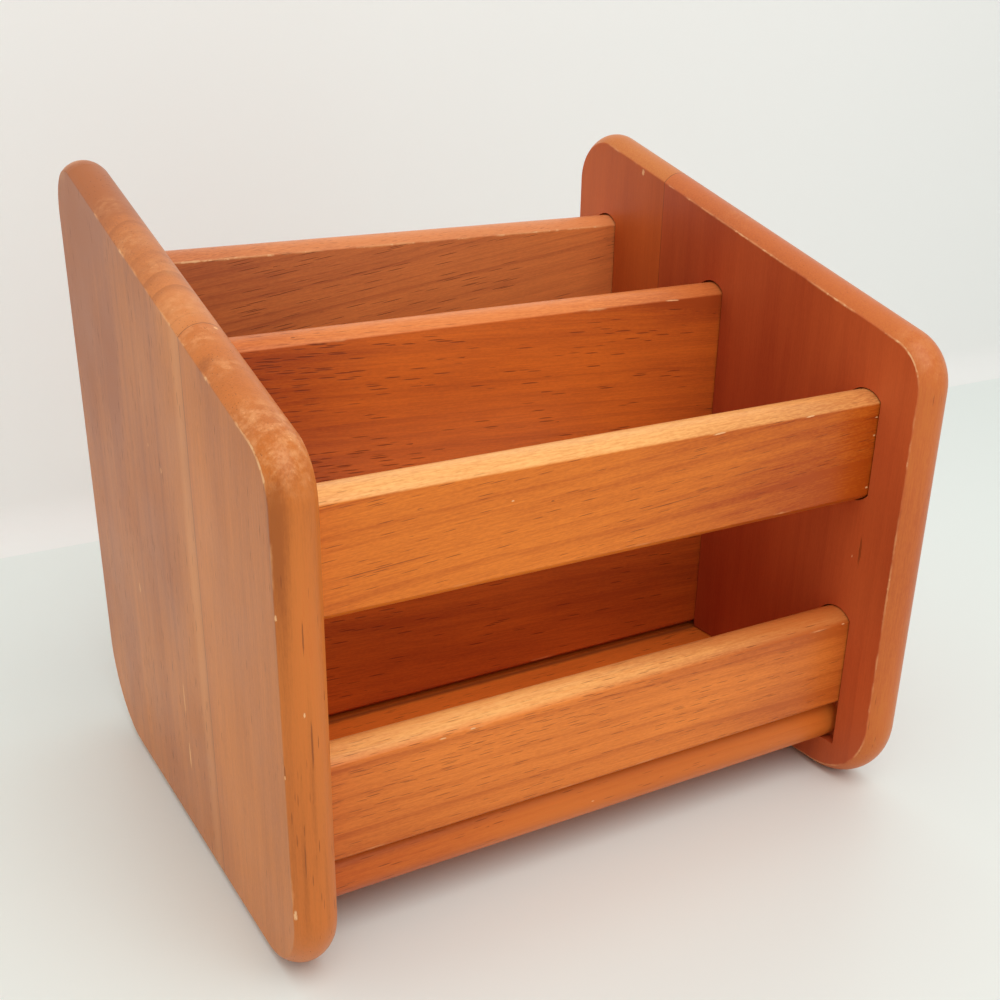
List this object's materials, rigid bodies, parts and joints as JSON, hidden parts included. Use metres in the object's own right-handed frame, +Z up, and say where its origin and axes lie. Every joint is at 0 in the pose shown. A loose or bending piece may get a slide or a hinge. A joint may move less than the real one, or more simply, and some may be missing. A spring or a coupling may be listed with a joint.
{
  "type": "desk organizer",
  "caption": "Open-topped wooden desk organizer: crowned, sloping side panels joined by front rails, a divider, a back board and a base let into stopped housings.",
  "frame": {"origin": "centre of the rack's footprint, on the surface it stands on", "axes": "+X to the right as seen from the front, the front rails face -Y, +Z up"},
  "size_m": [0.262, 0.222, 0.2441],
  "materials": {
    "side_panel_wood": "satin clear lacquer over honey-brown stain",
    "rail_wood": "satin clear lacquer over honey-brown stain",
    "board_wood": "satin clear lacquer over honey-brown stain",
    "base_wood": "satin clear lacquer over honey-brown stain"
  },
  "bodies": {
    "root": {"left_panel_front_stave": "side_panel_wood", "left_panel_rear_stave": "side_panel_wood", "right_panel_front_stave": "side_panel_wood", "right_panel_rear_stave": "side_panel_wood", "upper_front_rail": "rail_wood", "lower_front_rail": "rail_wood", "divider_board": "board_wood", "back_board_lower_stave": "board_wood", "back_board_upper_stave": "board_wood", "base_front_stave": "base_wood", "base_rear_stave": "base_wood"}
  },
  "joints": []
}
